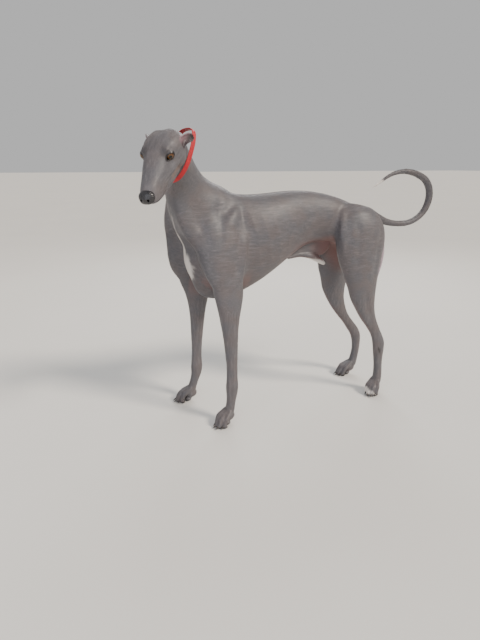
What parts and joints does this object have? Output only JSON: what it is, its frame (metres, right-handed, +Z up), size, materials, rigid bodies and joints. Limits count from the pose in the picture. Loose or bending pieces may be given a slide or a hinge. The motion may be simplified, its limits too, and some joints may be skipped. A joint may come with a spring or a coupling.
{
  "type": "greyhound",
  "caption": "Still life-size greyhound standing on four feet, head turned to its left and tail curled up, wearing a plain collar.",
  "frame": {"origin": "bottom centre of the bounding box, on the floor under the dog", "axes": "+Z up; the dog's body faces -Y, so its tail points to +Y, and its left side is +X"},
  "size_m": [0.3804, 1.1098, 0.9058],
  "materials": {
    "coat": "short smooth blue-grey fur with white markings",
    "nose_leather": "black moist nose leather",
    "eye": "amber eye with a clear wet surface",
    "collar_webbing": "flat red webbing"
  },
  "bodies": {
    "root": {"head": "coat", "nose": "nose_leather", "eye_left": "eye", "eye_right": "eye", "ear_left": "coat", "ear_right": "coat", "neck": "coat", "torso": "coat", "tail_1": "coat", "tail_2": "coat", "tail_3": "coat", "leg_fore_left": "coat", "leg_fore_right": "coat", "leg_hind_left": "coat", "leg_hind_right": "coat", "collar": "collar_webbing"}
  },
  "joints": []
}
